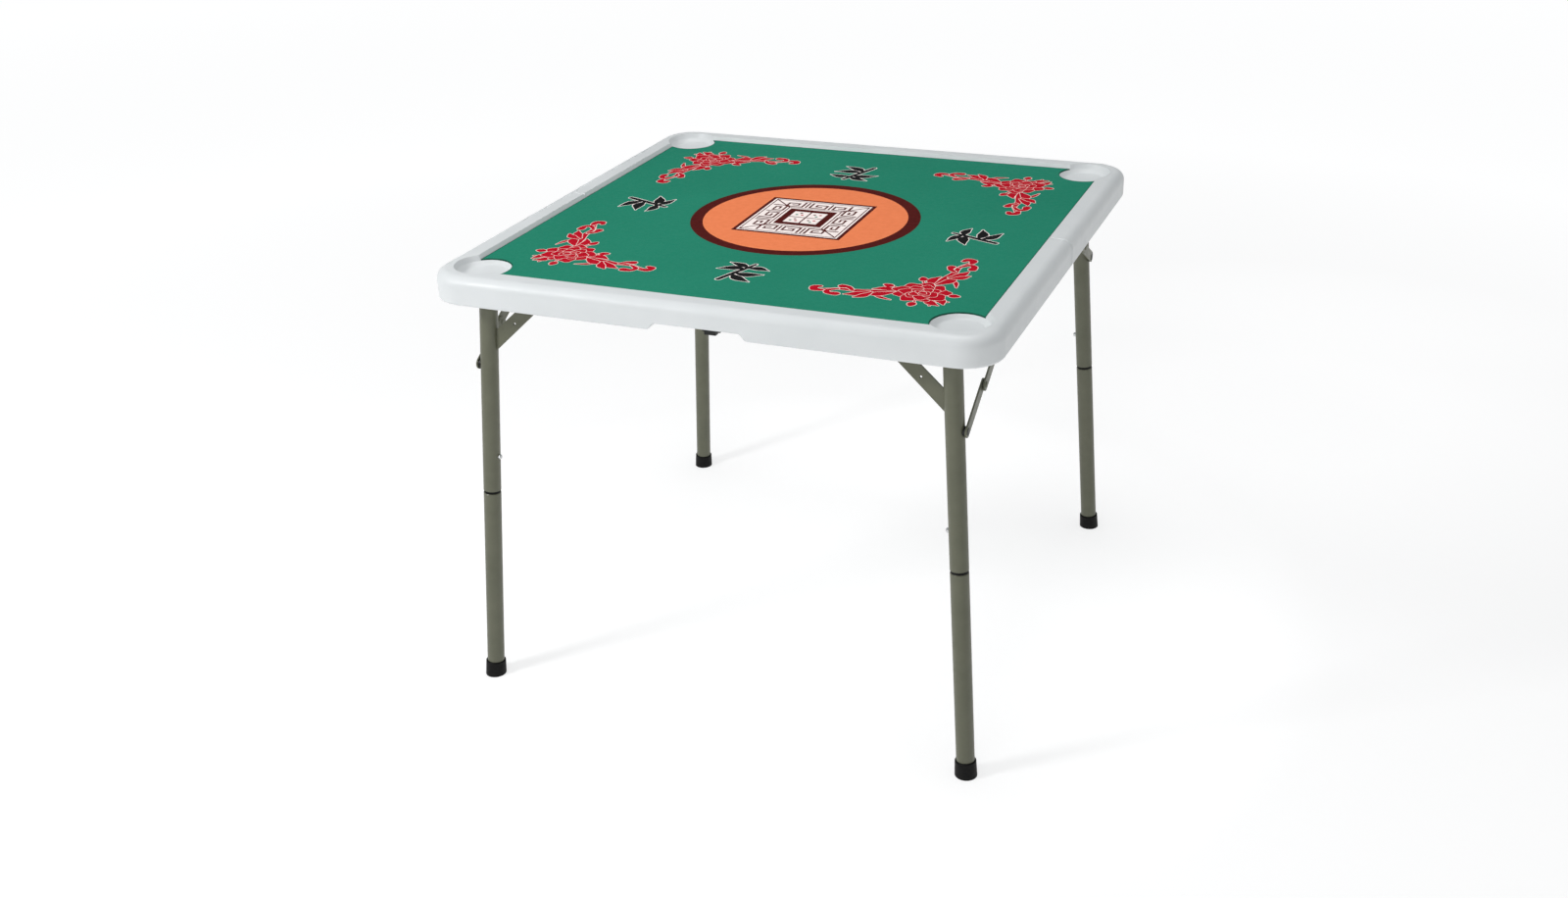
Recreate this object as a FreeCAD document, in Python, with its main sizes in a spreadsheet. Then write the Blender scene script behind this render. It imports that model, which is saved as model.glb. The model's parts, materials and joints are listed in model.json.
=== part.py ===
# Square fold-in-half mahjong table: two blow-moulded top halves, a loose
# playing mat, two folding leg frames with toggle stays and pull-off lower legs.
# Millimetres. Origin on the floor under the middle of the top, +Z up,
# X along the fold line, front half towards -Y.
import FreeCAD, Part
import os
import math
from FreeCAD import Vector, Rotation, Placement

doc = FreeCAD.newDocument("mahjong_table")
sheet = doc.addObject("Spreadsheet::Sheet", "Dims")

DIMS = [
    ("top_width", 880.0), ("half_depth", 440.0), ("corner_radius", 58.0),
    ("rim_round", 16.0), ("rim_foot_round", 5.0), ("top_height", 710.0),
    ("mat_height", 704.0), ("pocket_height", 702.0), ("skirt_height", 665.5),
    ("panel_under", 694.0), ("lip_width", 40.5), ("lip_drop", 6.0), ("lip_run", 3.6),
    ("cup_radius", 41.0), ("cup_x", 373.0), ("cup_y", 371.0), ("cup_floor", 696.0), ("cup_foot", 34.6), ("cup_round", 4.0),
    ("bay_round", 14.0), ("side_wall", 34.0), ("end_wall", 28.0), ("fold_wall", 24.0), ("fold_gap", 0.6), ("seam_break", 2.2),
    ("notch_x", 9.0), ("notch_top", 64.5), ("notch_foot", 79.0), ("notch_height", 12.0),
    ("mat_gap", 0.6),
    ("hinge_x", 250.0), ("hinge_barrel", 5.0), ("hinge_pin", 2.5), ("hinge_length", 80.0),
    ("hinge_leaf", 2.5), ("hinge_leaf_width", 20.0),
    ("bar_radius", 11.0), ("bar_bore", 9.5), ("bar_y", 378.7), ("bar_z", 679.5),
    ("leg_radius", 14.0), ("leg_bore", 12.8), ("leg_x", 364.6),
    ("splay_side", 3.743), ("splay_end", 3.217),
    ("leg_length", 682.0), ("upper_end", 340.8), ("collar_height", 4.2), ("shoulder", 1.3),
    ("neck_radius", 12.6), ("neck_bore", 11.2), ("neck_top", 258.8),
    ("button_at", 281.5), ("button_radius", 3.8), ("button_out", 18.0),
    ("foot_radius", 16.3), ("foot_flare", 17.5), ("foot_height", 24.6), ("foot_base", 6.0),
    ("stay_at", 128.0), ("stay_width", 18.0), ("stay_thick", 2.5), ("stay_plane", 389.3),
    ("stay_gap", 1.2), ("stay_pin", 3.0), ("stay_lower", 84.06), ("stay_end_y", 158.0),
    ("gusset_thick", 3.0), ("bracket_x", 190.0), ("bracket_width", 46.0), ("bracket_length", 30.0),
    ("running", 0.06),
]
for row, (alias, value) in enumerate(DIMS, start=1):
    sheet.set("A%d" % row, alias)
    sheet.set("B%d" % row, str(value))
    sheet.setAlias("B%d" % row, alias)
doc.recompute()
D = {a: float(sheet.get(a)) for a, _ in DIMS}


class Cells:
    def __getattr__(self, name):
        return D[name]


d = Cells()
FINAL = []


def bind(obj, **props):
    for name, expr in props.items():
        obj.setExpression(name.replace("__", "."), expr)


def at(obj, x=None, y=None, z=None):
    for axis, expr in (("x", x), ("y", y), ("z", z)):
        if expr is not None:
            obj.setExpression("Placement.Base." + axis, expr)


def box(name, length, width, height, x=None, y=None, z=None):
    o = doc.addObject("Part::Box", name)
    bind(o, Length=length, Width=width, Height=height)
    at(o, x, y, z)
    return o


def cyl(name, radius, height, x=None, y=None, z=None):
    o = doc.addObject("Part::Cylinder", name)
    bind(o, Radius=radius, Height=height)
    at(o, x, y, z)
    return o


def cut(name, base, *tools):
    tool = tools[0]
    if len(tools) > 1:
        tool = doc.addObject("Part::MultiFuse", name + "_tools")
        tool.Shapes = list(tools)
    o = doc.addObject("Part::Cut", name)
    o.Base, o.Tool = base, tool
    return o


def fuse(name, *shapes):
    o = doc.addObject("Part::MultiFuse", name)
    o.Shapes = list(shapes)
    return o


def group(name, *shapes):
    o = doc.addObject("Part::Compound", name)
    o.Links = list(shapes)
    return o


def rounded(name, base, radius_alias, pick):
    doc.recompute()
    o = doc.addObject("Part::Fillet", name)
    o.Base = base
    r = D[radius_alias]
    o.Edges = [(i + 1, r, r) for i, e in enumerate(base.Shape.Edges) if pick(e)]
    doc.recompute()
    return o


def prism(name, points, thick_expr, place):
    # flat plate: a closed outline drawn in local XZ and extruded along local +Y
    wire = doc.addObject("Part::Polygon", name + "_outline")
    wire.Nodes = [Vector(x, 0, z) for x, z in points]
    wire.Close = True
    o = doc.addObject("Part::Extrusion", name)
    o.Base, o.Solid, o.DirMode, o.Dir = wire, True, "Custom", Vector(0, 1, 0)
    bind(o, LengthFwd=thick_expr)
    o.Placement = place
    return o


def keep(obj, label):
    obj.Label = label
    FINAL.append(obj)
    return obj


def mid(e):
    b = e.BoundBox
    return b.Center


# ------------------------------------------------------------------ top halves
def half(side):
    """One moulded half; side is -1 for the front half and +1 for the rear."""
    n = "front" if side < 0 else "rear"
    s = "-" if side < 0 else ""
    y0 = "-Dims.half_depth" if side < 0 else "Dims.fold_gap / 2"
    slab = box(n + "_slab", "Dims.top_width", "Dims.half_depth - Dims.fold_gap / 2",
               "Dims.top_height - Dims.skirt_height",
               "-Dims.top_width / 2", y0, "Dims.skirt_height")
    outer = side * d.half_depth
    corners = rounded(n + "_corners", slab, "corner_radius",
                      lambda e: e.BoundBox.ZLength > 20 and abs(mid(e).y - outer) < 0.1)
    away = lambda e: not (e.BoundBox.YLength < 0.01 and abs(mid(e).y) < 1)
    crown = rounded(n + "_crown", corners, "rim_round",
                    lambda e: abs(mid(e).z - d.top_height) < 0.01 and away(e))
    rim = rounded(n + "_rim", crown, "rim_foot_round",
                  lambda e: abs(mid(e).z - d.skirt_height) < 0.01 and e.BoundBox.ZLength < 0.01 and away(e))
    # the meeting edges at the fold are broken, which leaves a fine groove across the rim
    doc.recompute()
    seam = doc.addObject("Part::Chamfer", n + "_seam")
    seam.Base = rim
    seam.Edges = [(i + 1, d.seam_break, d.seam_break) for i, e in enumerate(rim.Shape.Edges)
                  if e.BoundBox.YLength < 0.01 and abs(mid(e).y) < 1 and e.BoundBox.ZMax > d.skirt_height + 1]
    doc.recompute()
    py = "-(Dims.half_depth - Dims.lip_width)" if side < 0 else "-5"
    pocket = box(n + "_pocket", "Dims.top_width - 2 * Dims.lip_width", "Dims.half_depth - Dims.lip_width + 5",
                 "20", "-(Dims.top_width / 2 - Dims.lip_width)", py, "Dims.pocket_height")
    # the lip slopes down to the mat all round: the recess flares above the mat's face
    flare = doc.addObject("Part::Wedge", n + "_flare")
    bind(flare, Xmin="-(Dims.top_width / 2 - Dims.lip_width)", Xmax="Dims.top_width / 2 - Dims.lip_width",
         X2min="-(Dims.top_width / 2 - Dims.lip_width + Dims.lip_run * 7 / 6)",
         X2max="Dims.top_width / 2 - Dims.lip_width + Dims.lip_run * 7 / 6",
         Ymin="0", Ymax="Dims.lip_drop * 7 / 6",
         Zmin="-5", Zmax="Dims.half_depth - Dims.lip_width",
         Z2min="-5", Z2max="Dims.half_depth - Dims.lip_width + Dims.lip_run * 7 / 6")
    flare.Placement.Rotation = Rotation(Vector(1, 0, 0), 90) if side < 0 else \
        Rotation(Vector(0, 0, 1), 180).multiply(Rotation(Vector(1, 0, 0), 90))
    at(flare, z="Dims.top_height - Dims.lip_drop")
    tools = [pocket, flare]
    for k, sx in (("left", "-"), ("right", "")):
        # dished cup: a sloping wall with a soft foot, opening a little more where it cuts the lip
        well = doc.addObject("Part::Cone", n + "_cup_" + k)
        bind(well, Radius1="Dims.cup_foot", Radius2="Dims.cup_radius", Height="Dims.pocket_height - Dims.cup_floor")
        at(well, sx + "Dims.cup_x", s + "Dims.cup_y", "Dims.cup_floor")
        tools.append(rounded(n + "_cup_soft_" + k, well, "cup_round",
                             lambda e: abs(mid(e).z - d.cup_floor) < 0.01 and e.BoundBox.XLength > 10))
        mouth = doc.addObject("Part::Cone", n + "_cup_mouth_" + k)
        bind(mouth, Radius1="Dims.cup_radius", Radius2="Dims.cup_radius + 4.5", Height="Dims.top_height - Dims.pocket_height + 1")
        at(mouth, sx + "Dims.cup_x", s + "Dims.cup_y", "Dims.pocket_height")
        tools.append(mouth)
    by = "-(Dims.half_depth - Dims.end_wall)" if side < 0 else "Dims.fold_wall"
    bay = box(n + "_bay", "Dims.top_width - 2 * Dims.side_wall",
              "Dims.half_depth - Dims.end_wall - Dims.fold_wall", "Dims.panel_under - Dims.skirt_height + 10",
              "-(Dims.top_width / 2 - Dims.side_wall)", by, "Dims.skirt_height - 10")
    bay_soft = rounded(n + "_bay_soft", bay, "bay_round", lambda e: e.BoundBox.ZLength > 20)
    tools.append(bay_soft)
    # the hand notch rises in a smooth S at both ends
    a, b, h = d.notch_top, d.notch_foot, d.notch_height
    steps = [i / 12.0 for i in range(13)]
    rise = [(b + (a - b) * t, d.skirt_height + h * (3 * t * t - 2 * t * t * t)) for t in steps]
    outline = [(d.notch_x - b, d.skirt_height - 2)] + [(d.notch_x - w, z) for w, z in rise]
    outline += [(d.notch_x + w, z) for w, z in reversed(rise)] + [(d.notch_x + b, d.skirt_height - 2)]
    notch = prism(n + "_notch", outline, "Dims.end_wall + 20",
                  Placement(Vector(0, -d.half_depth - 10 if side < 0 else d.half_depth - d.end_wall - 10, 0), Rotation()))
    tools.append(notch)
    for k, sx in (("left", "-"), ("right", "")):
        # room for the hinge barrel, and the leaf let into the foot of the fold wall
        groove = cyl(n + "_groove_" + k, "Dims.hinge_barrel + 0.7", "Dims.hinge_length + 2",
                     sx + "Dims.hinge_x - Dims.hinge_length / 2 - 1", None, "Dims.skirt_height")
        groove.Placement.Rotation = Rotation(Vector(0, 1, 0), 90)
        seat = box(n + "_seat_" + k, "Dims.hinge_length + 1", "Dims.hinge_leaf_width + 1",
                   "Dims.hinge_leaf + 0.2 + 5",
                   sx + "Dims.hinge_x - Dims.hinge_length / 2 - 0.5",
                   "-(Dims.hinge_leaf_width + 1)" if side < 0 else "0", "Dims.skirt_height - 5")
        tools += [groove, seat]
    return keep(cut(n + "_moulding", seam, *tools), n + "_top")


front_top = half(-1)
rear_top = half(+1)

# ------------------------------------------------------------------ playing mat
sheet_mat = box("mat_sheet", "Dims.top_width - 2 * (Dims.lip_width + Dims.mat_gap)",
                "Dims.top_width - 2 * (Dims.lip_width + Dims.mat_gap)",
                "Dims.mat_height - Dims.pocket_height",
                "-(Dims.top_width / 2 - Dims.lip_width - Dims.mat_gap)",
                "-(Dims.top_width / 2 - Dims.lip_width - Dims.mat_gap)", "Dims.pocket_height")
mat_cuts = [cyl("mat_cut_%d" % i, "Dims.cup_radius + Dims.mat_gap", "10",
                sx + "Dims.cup_x", sy + "Dims.cup_y", "Dims.pocket_height - 4")
            for i, (sx, sy) in enumerate((("", ""), ("-", ""), ("", "-"), ("-", "-")))]
keep(cut("mat_cut", sheet_mat, *mat_cuts), "playing_mat")


# ------------------------------------------------------------------ fold hinges
def knuckles(side):
    n = "front" if side < 0 else "rear"
    leaves = []
    pitch = d.hinge_length / 5.0
    for k, sx in (("left", -1), ("right", 1)):
        x0 = sx * d.hinge_x - d.hinge_length / 2
        plate = box("%s_leaf_plate_%s" % (n, k), "Dims.hinge_length", "Dims.hinge_leaf_width", "Dims.hinge_leaf",
                    "%s Dims.hinge_x - Dims.hinge_length / 2" % ("-" if sx < 0 else ""),
                    "-Dims.hinge_leaf_width" if side < 0 else "0", "Dims.skirt_height")
        shapes = [plate]
        mine = (1, 3) if side < 0 else (0, 2, 4)
        other = (0, 2, 4) if side < 0 else (1, 3)
        for i in mine:
            b = cyl("%s_knuckle_%s_%d" % (n, k, i), "Dims.hinge_barrel", "Dims.hinge_length / 5 - 0.4", None, None, "Dims.skirt_height")
            b.Placement.Rotation = Rotation(Vector(0, 1, 0), 90)
            b.Placement.Base.x = x0 + i * pitch + 0.2
            shapes.append(b)
        cuts = []
        for i in other:
            c = cyl("%s_gap_%s_%d" % (n, k, i), "Dims.hinge_barrel + 0.5", "Dims.hinge_length / 5 + 0.001", None, None, "Dims.skirt_height")
            c.Placement.Rotation = Rotation(Vector(0, 1, 0), 90)
            c.Placement.Base.x = x0 + i * pitch - 0.0005
            cuts.append(c)
        # edge of the plate trimmed clear of the other leaf, then the pin bore
        trim = box("%s_trim_%s" % (n, k), "Dims.hinge_length + 2", "2", "8", None,
                   "-0.4" if side < 0 else "-1.6", "Dims.skirt_height - 4")
        trim.Placement.Base.x = x0 - 1
        plate_cut = cut("%s_plate_cut_%s" % (n, k), plate, trim, *cuts)
        again = fuse("%s_leaf_join_%s" % (n, k), plate_cut, *shapes[1:])
        bore = cyl("%s_bore_%s" % (n, k), "Dims.hinge_pin + %s" % ("Dims.running" if side < 0 else "0"),
                   "Dims.hinge_length + 4", None, None, "Dims.skirt_height")
        bore.Placement.Rotation = Rotation(Vector(0, 1, 0), 90)
        bore.Placement.Base.x = x0 - 2
        leaves.append(cut("%s_leaf_%s" % (n, k), again, bore))
    return keep(group(n + "_hinge_group", *leaves), n + "_hinge_leaves")


knuckles(-1)
knuckles(+1)
pins = []
for k, sx in (("left", "-"), ("right", "")):
    p = cyl("fold_pin_" + k, "Dims.hinge_pin", "Dims.hinge_length - 0.6",
            sx + "Dims.hinge_x - Dims.hinge_length / 2 + 0.3", None, "Dims.skirt_height")
    p.Placement.Rotation = Rotation(Vector(0, 1, 0), 90)
    pins.append(p)
keep(group("fold_pins", *pins), "hinge_pins")


def screw(name, x, y, z, shank, head_r=4.2, head_h=2.2, r=2.0):
    """Round-head screw driven upwards, head face at z."""
    head = doc.addObject("Part::Cone", name + "_head")
    head.Radius1, head.Radius2, head.Height = head_r * 0.7, head_r, head_h
    head.Placement.Base = Vector(x, y, z - head_h)
    body = doc.addObject("Part::Cylinder", name + "_shank")
    body.Radius, body.Height = r, shank
    body.Placement.Base = Vector(x, y, z)
    return fuse(name, head, body)


for side, n in ((-1, "front"), (1, "rear")):
    parts = []
    for k, sx in (("l", -1), ("r", 1)):
        for i, dx in enumerate((-30.0, 0.0, 30.0)):
            parts.append(screw("%s_hinge_screw_%s%d" % (n, k, i), sx * d.hinge_x + dx, side * 13.0, d.skirt_height + 0.4, 12.0, 3.6, 1.6))
    keep(group(n + "_hinge_screw_group", *parts), n + "_hinge_screws")


# ------------------------------------------------------------------ leg frames
TILT = Rotation(Vector(1, 0, 0), -d.splay_end)
FRONT = Placement(Vector(0, -d.bar_y, d.bar_z), TILT)
REAR = Placement(Vector(0, 0, 0), Rotation(Vector(0, 0, 1), 180)).multiply(FRONT)
SA, CA = math.sin(math.radians(d.splay_side)), math.cos(math.radians(d.splay_side))


def along(sx, s, radial=0.0):
    """Point at distance s down a leg axis, radial outwards in the frame plane."""
    return Vector(sx * (d.leg_x + s * SA + radial * CA), 0, -s * CA + radial * SA)


def leg_place(frame, sx, s):
    return frame.multiply(Placement(along(sx, s), Rotation(Vector(0, 1, 0), -sx * d.splay_side)))


def leg_cyl(name, frame, sx, s_low, radius, height):
    o = doc.addObject("Part::Cylinder", name)
    bind(o, Radius=radius, Height=height)
    o.Placement = leg_place(frame, sx, s_low)
    return o


def cross_cyl(name, frame, sx, s, r_in, r_out, radius):
    """Cylinder square to a leg axis, along the inward direction of the frame plane."""
    o = doc.addObject("Part::Cylinder", name)
    bind(o, Radius=radius)
    o.Height = r_out - r_in
    inward = along(sx, s, -r_in)
    turn = Rotation(Vector(0, 0, 1), Vector(-sx * CA, 0, -SA))
    o.Placement = frame.multiply(Placement(inward, turn))
    return o


for n, frame in (("front", FRONT), ("rear", REAR)):
    end = -1 if n == "front" else 1
    bar_blank = cyl(n + "_bar_blank", "Dims.bar_radius", "2 * Dims.leg_x")
    bar_blank.Placement = frame.multiply(Placement(Vector(-d.leg_x, 0, 0), Rotation(Vector(0, 1, 0), 90)))
    bar_hole = cyl(n + "_bar_hole", "Dims.bar_bore", "2 * Dims.leg_x + 10")
    bar_hole.Placement = frame.multiply(Placement(Vector(-d.leg_x - 5, 0, 0), Rotation(Vector(0, 1, 0), 90)))
    saddles = [leg_cyl("%s_saddle_%d" % (n, sx), frame, sx, 40, "Dims.leg_radius", "80") for sx in (-1, 1)]
    keep(cut(n + "_bar", bar_blank, bar_hole, *saddles), n + "_crossbar")

    gussets, spacers = [], []
    for sx in (-1, 1):
        # in the rear frame the sides swap, because that frame is turned half round
        hand = "left" if sx * (1 if n == "front" else -1) < 0 else "right"
        leg = "%s_%s" % (n, hand)
        # upper leg: tube with a closed top, welded to the crossbar
        tube = leg_cyl(leg + "_tube", frame, sx, d.upper_end, "Dims.leg_radius", "Dims.upper_end + 2")
        bore = leg_cyl(leg + "_tube_bore", frame, sx, d.upper_end + 5, "Dims.leg_bore", "Dims.upper_end + 3.5")
        eye = cross_cyl(leg + "_eye", frame, sx, d.button_at, 5, 25, "Dims.button_radius + 0.25")
        keep(cut(leg + "_upper", tube, bore, eye), leg + "_upper_leg")

        # gusset: diagonal strap from the leg up to the crossbar, with a hole in it
        outline = [(sx * 371.5, -115.7), (sx * 247.3, 0.0), (sx * 278.2, 0.0), (sx * 368.5, -81.0)]
        plate = prism(leg + "_gusset_blank", outline, "Dims.gusset_thick",
                      frame.multiply(Placement(Vector(0, -d.gusset_thick / 2, 0), Rotation())))
        hole = doc.addObject("Part::Cylinder", leg + "_gusset_hole")
        hole.Radius, hole.Height = 1.9, 20.0
        hole.Placement = frame.multiply(Placement(Vector(sx * 322, 10, -56), Rotation(Vector(1, 0, 0), 90)))
        solid_leg = leg_cyl(leg + "_gusset_leg", frame, sx, 200, "Dims.leg_radius", "210")
        solid_bar = cyl(leg + "_gusset_bar", "Dims.bar_radius", "2 * Dims.leg_x")
        solid_bar.Placement = bar_blank.Placement
        gussets.append(cut(leg + "_gusset", plate, hole, solid_leg, solid_bar))

        # stay spacer and pin standing out of the leg's outer side
        b = along(sx, d.stay_at)
        turn = Rotation(Vector(0, 0, 1), Vector(sx, 0, 0))
        spool = cyl(leg + "_spool", "7.5", "Dims.stay_plane - 0.3 - %f" % abs(b.x))
        spool.Placement = frame.multiply(Placement(b, turn))
        pin = cyl(leg + "_stay_pin", "Dims.stay_pin", "Dims.stay_plane + Dims.stay_thick + 0.3 - %f" % abs(b.x))
        pin.Placement = frame.multiply(Placement(b, turn))
        rivet = cyl(leg + "_stay_rivet", "5.5", "0.6")
        rivet.Placement = frame.multiply(Placement(Vector(sx * (d.stay_plane + d.stay_thick + 0.1), b.y, b.z), turn))
        spacers.append(cut(leg + "_spacer", fuse(leg + "_spacer_blank", spool, pin, rivet), leg_cyl(leg + "_spacer_leg", frame, sx, 200, "Dims.leg_radius", "150")))

        # lower leg: tube with a swaged neck that plugs into the upper leg
        low = leg_cyl(leg + "_low_tube", frame, sx, d.leg_length - 8, "Dims.leg_radius",
                      "Dims.leg_length - 8 - Dims.upper_end - Dims.collar_height - Dims.shoulder")
        shoulder = doc.addObject("Part::Cone", leg + "_shoulder")
        bind(shoulder, Radius1="Dims.leg_radius", Radius2="Dims.leg_radius - 1.1", Height="Dims.shoulder")
        shoulder.Placement = leg_place(frame, sx, d.upper_end + d.collar_height + d.shoulder)
        neck = leg_cyl(leg + "_neck", frame, sx, d.leg_length - 20, "Dims.neck_radius", "Dims.leg_length - 20 - Dims.neck_top")
        low_bore = leg_cyl(leg + "_low_bore", frame, sx, d.leg_length, "Dims.neck_bore", "Dims.leg_length - Dims.neck_top + 5")
        eye2 = cross_cyl(leg + "_neck_eye", frame, sx, d.button_at, 5, 25, "Dims.button_radius + 0.1")
        keep(cut(leg + "_lower", fuse(leg + "_lower_blank", low, shoulder, neck), low_bore, eye2), leg + "_lower_leg")

        # collar ring between the two tubes
        ring = leg_cyl(leg + "_ring", frame, sx, d.upper_end + d.collar_height, "Dims.leg_radius - 0.6", "Dims.collar_height")
        ring_bore = leg_cyl(leg + "_ring_bore", frame, sx, d.upper_end + d.collar_height + 1, "Dims.neck_radius + 0.05", "Dims.collar_height + 2")
        keep(cut(leg + "_ring_cut", ring, ring_bore), leg + "_collar")

        # foot cap: cup over the tube end, trimmed flat on the floor
        cap = doc.addObject("Part::Cone", leg + "_cap")
        bind(cap, Radius1="Dims.foot_flare", Radius2="Dims.foot_radius", Height="Dims.foot_height + 12")
        cap.Placement = leg_place(frame, sx, d.leg_length + 12)
        well = leg_cyl(leg + "_cap_well", frame, sx, d.leg_length - 8, "Dims.leg_radius + 0.05", "60")
        brow = doc.addObject("Part::Cone", leg + "_cap_brow")
        bind(brow, Radius1="Dims.foot_radius", Radius2="Dims.leg_radius + 0.6", Height="1.6")
        brow.Placement = leg_place(frame, sx, d.leg_length - d.foot_height)
        cap_round = fuse(leg + "_cap_solid", cap, brow)
        floor = doc.addObject("Part::Box", leg + "_floor")
        floor.Length, floor.Width, floor.Height = 200, 200, 60
        tip = frame.multVec(along(sx, d.leg_length))
        floor.Placement.Base = Vector(tip.x - 100, tip.y - 100, -60)
        keep(cut(leg + "_foot_cut", cap_round, well, floor), leg + "_foot")

        # snap button through both tubes, and its spring clip inside the neck
        stem = cross_cyl(leg + "_stem", frame, sx, d.button_at, 9.6, d.button_out - 1.5, "Dims.button_radius")
        dome = doc.addObject("Part::Cone", leg + "_dome")
        dome.Radius1, dome.Radius2, dome.Height = d.button_radius, d.button_radius - 1.4, 1.5
        dome.Placement = frame.multiply(Placement(along(sx, d.button_at, -(d.button_out - 1.5)), Rotation(Vector(0, 0, 1), Vector(-sx * CA, 0, -SA))))
        flange = cross_cyl(leg + "_flange", frame, sx, d.button_at, 8.6, 9.8, "Dims.button_radius + 0.8")
        keep(fuse(leg + "_button_solid", stem, dome, flange), leg + "_button")
        spring_place = leg_place(frame, sx, d.button_at)
        bars = []
        for i, (r0, z0, zl) in enumerate(((7.7, -6.0, 46.0), (-9.9, -6.0, 46.0))):
            strip = doc.addObject("Part::Box", leg + "_strip_%d" % i)
            strip.Length, strip.Width, strip.Height = 0.8, 8.0, zl
            strip.Placement = spring_place.multiply(Placement(Vector(-sx * r0 - (0.8 if sx > 0 else 0), -4.0, z0), Rotation()))
            bars.append(strip)
        bend = doc.addObject("Part::Box", leg + "_bend")
        bend.Length, bend.Width, bend.Height = 18.4, 8.0, 0.8
        bend.Placement = spring_place.multiply(Placement(Vector(-8.5 if sx > 0 else -9.9, -4.0, 40.0), Rotation()))
        keep(fuse(leg + "_spring_solid", *(bars + [bend])), leg + "_button_spring")
    keep(group(n + "_gusset_pair", *gussets), n + "_gussets")
    keep(group(n + "_spacer_pair", *spacers), n + "_stay_spacers")

    # pivot brackets that carry the crossbar under the top
    blocks, screws = [], []
    for sx in (-1, 1):
        x = sx * d.bracket_x
        blk = box("%s_block_%d" % (n, sx), "Dims.bracket_length", "Dims.bracket_width * 0.66", "Dims.panel_under - Dims.skirt_height - 0.2",
                  "%f - Dims.bracket_length / 2" % x, "%f - Dims.bracket_width * 0.33" % (end * d.bar_y), "Dims.skirt_height + 0.2")
        flange = box("%s_flange_%d" % (n, sx), "Dims.bracket_length", "Dims.bracket_width * 1.3", "4",
                     "%f - Dims.bracket_length / 2" % x, "%f - Dims.bracket_width * 0.65" % (end * d.bar_y), "Dims.panel_under - 4")
        bore = cyl("%s_block_bore_%d" % (n, sx), "Dims.bar_radius + Dims.running", "Dims.bracket_length + 10")
        bore.Placement = Placement(Vector(x - d.bracket_length / 2 - 5, end * d.bar_y, d.bar_z), Rotation(Vector(0, 1, 0), 90))
        blocks.append(cut("%s_bracket_%d" % (n, sx), fuse("%s_bracket_blank_%d" % (n, sx), blk, flange), bore))
        for i, dy in enumerate((-22.5, 22.5)):
            screws.append(screw("%s_screw_%d_%d" % (n, sx, i), x, end * d.bar_y + dy, d.panel_under - 4, 10.0))
    keep(group(n + "_brackets", *blocks), n + "_pivot_brackets")
    keep(group(n + "_screws", *screws), n + "_bracket_screws")


# ------------------------------------------------------------------ folding stays
def link_bar(name, frame, p0, p1, x_in, sx, bore0, bore1, boss=None):
    """Flat link with round ends from p0 to p1 (y, z in the frame), from x_in outwards."""
    vy, vz = p1[0] - p0[0], p1[1] - p0[1]
    length = math.hypot(vy, vz)
    w = d.stay_width / 2
    # local: X along the link, Z across it, Y through its thickness
    along_v, out_v = Vector(0, vy / length, vz / length), Vector(sx, 0, 0)
    rot = Rotation(along_v, out_v, Vector(0, 0, 0), "XYZ")
    place = frame.multiply(Placement(Vector(sx * x_in, p0[0], p0[1]), rot))
    bar = doc.addObject("Part::Box", name + "_bar")
    bar.Length, bar.Height = length, 2 * w
    bind(bar, Width="Dims.stay_thick")
    bar.Placement = place.multiply(Placement(Vector(0, 0, -w), Rotation()))
    to_y = Rotation(Vector(0, 0, 1), Vector(0, 1, 0))
    ends, bores = [], []
    for i, (dist, r) in enumerate(((0.0, bore0), (length, bore1))):
        e = cyl("%s_end_%d" % (name, i), "Dims.stay_width / 2", "Dims.stay_thick")
        e.Placement = place.multiply(Placement(Vector(dist, 0, 0), to_y))
        ends.append(e)
        if r:
            b = doc.addObject("Part::Cylinder", "%s_hole_%d" % (name, i))
            b.Radius, b.Height = r, 20
            b.Placement = place.multiply(Placement(Vector(dist, -8, 0), to_y))
            bores.append(b)
    if boss:
        dist, y0, y1 = boss
        c = doc.addObject("Part::Cone", name + "_rivet")
        c.Radius1, c.Radius2, c.Height = (5.2, 3.4, y1 - y0) if y0 > 0 else (3.4, 5.2, y1 - y0)
        c.Placement = place.multiply(Placement(Vector(dist * length, y0, 0), to_y))
        ends.append(c)
    solid = fuse(name + "_solid", bar, *ends)
    return cut(name + "_link", solid, *bores) if bores else solid


# knee of the toggle stay: on the straight line from the leg pin to the bracket pin
def world_yz(s):
    p = FRONT.multVec(along(1, s))
    return p.y, p.z


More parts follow.
